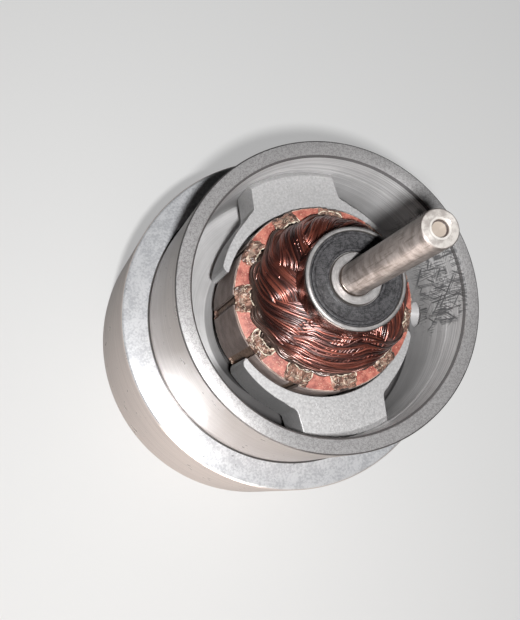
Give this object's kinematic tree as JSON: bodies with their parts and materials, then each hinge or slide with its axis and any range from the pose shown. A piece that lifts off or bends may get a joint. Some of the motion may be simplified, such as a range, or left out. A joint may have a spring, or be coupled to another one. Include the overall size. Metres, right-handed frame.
{
  "type": "motor armature in its housing",
  "caption": "Wound motor armature with commutator, ball bearings and brush gear, turning between two pole pieces in an open-fronted turned housing.",
  "frame": {"origin": "middle of the housing's rear face", "axes": "+Z along the shaft towards its free end, +Y through the middle of the upper pole piece"},
  "size_m": [0.1138, 0.1138, 0.1739],
  "materials": {
    "turned_housing": "turned housing",
    "pole_iron": "pole iron",
    "core_iron": "core iron",
    "shaft_steel": "shaft steel",
    "bearing_steel": "bearing steel",
    "bearing_cage_brass": "bearing cage brass",
    "seal_rubber": "seal rubber",
    "end_disc_fibre": "end disc fibre",
    "slot_paper": "slot paper",
    "wedge_fibre": "wedge fibre",
    "enamelled_copper": "enamelled copper",
    "sleeve_plastic": "sleeve plastic",
    "bar_copper": "bar copper",
    "screw_steel": "screw steel",
    "brush_carbon": "brush carbon",
    "box_brass": "box brass",
    "cap_plastic": "cap plastic",
    "spring_steel": "spring steel"
  },
  "bodies": {
    "housing": {"housing": "turned_housing", "upper_pole": "pole_iron", "lower_pole": "pole_iron", "pole_screws": "screw_steel", "rear_cover": "turned_housing", "rear_cover_screws": "screw_steel", "rear_bearing_outer_ring": "bearing_steel", "rear_bearing_seals": "seal_rubber", "brush_plate": "cap_plastic", "brush_plate_screws": "screw_steel", "left_brush_box": "box_brass", "right_brush_box": "box_brass", "left_brush_cap": "cap_plastic", "right_brush_cap": "cap_plastic", "left_brush_spring": "spring_steel", "right_brush_spring": "spring_steel"},
    "armature": {"shaft": "shaft_steel", "laminated_core": "core_iron", "front_insulator": "end_disc_fibre", "rear_insulator": "end_disc_fibre", "slot_liners": "slot_paper", "slot_wedges": "wedge_fibre", "armature_winding": "enamelled_copper", "front_sleeve": "sleeve_plastic", "rear_sleeve": "sleeve_plastic", "commutator_hub": "sleeve_plastic", "commutator_bars": "bar_copper", "commutator_leads": "enamelled_copper", "front_bearing_inner_ring": "bearing_steel", "rear_bearing_inner_ring": "bearing_steel"},
    "front_race": {"front_bearing_outer_ring": "bearing_steel", "front_bearing_seals": "seal_rubber"},
    "front_balls": {"front_bearing_balls": "bearing_steel", "front_bearing_cage": "bearing_cage_brass"},
    "rear_balls": {"rear_bearing_balls": "bearing_steel", "rear_bearing_cage": "bearing_cage_brass"},
    "left_brush": {"left_brush": "brush_carbon"},
    "right_brush": {"right_brush": "brush_carbon"}
  },
  "joints": [
    {"name": "armature_spin", "type": "hinge", "parent": "housing", "child": "armature", "pos_m": [0, 0, 0.08], "axis": [0, 0, 1], "continuous": true},
    {"name": "front_race_spin", "type": "hinge", "parent": "armature", "child": "front_race", "pos_m": [0, 0, 0.1157], "axis": [0, 0, 1], "continuous": true},
    {"name": "front_balls_roll", "type": "hinge", "parent": "armature", "child": "front_balls", "pos_m": [0, 0, 0.1157], "axis": [0, 0, 1], "continuous": true},
    {"name": "rear_balls_roll", "type": "hinge", "parent": "housing", "child": "rear_balls", "pos_m": [0, 0, 0.0105], "axis": [0, 0, 1], "continuous": true},
    {"name": "left_brush_slide", "type": "slide", "parent": "housing", "child": "left_brush", "axis": [-1, 0, 0], "range_m": [0, 0.005], "stiffness_N_per_m": 60, "springref_m": -0.002, "deforming": ["left_brush_spring"]},
    {"name": "right_brush_slide", "type": "slide", "parent": "housing", "child": "right_brush", "axis": [1, 0, 0], "range_m": [0, 0.005], "stiffness_N_per_m": 60, "springref_m": -0.002, "deforming": ["right_brush_spring"]}
  ]
}
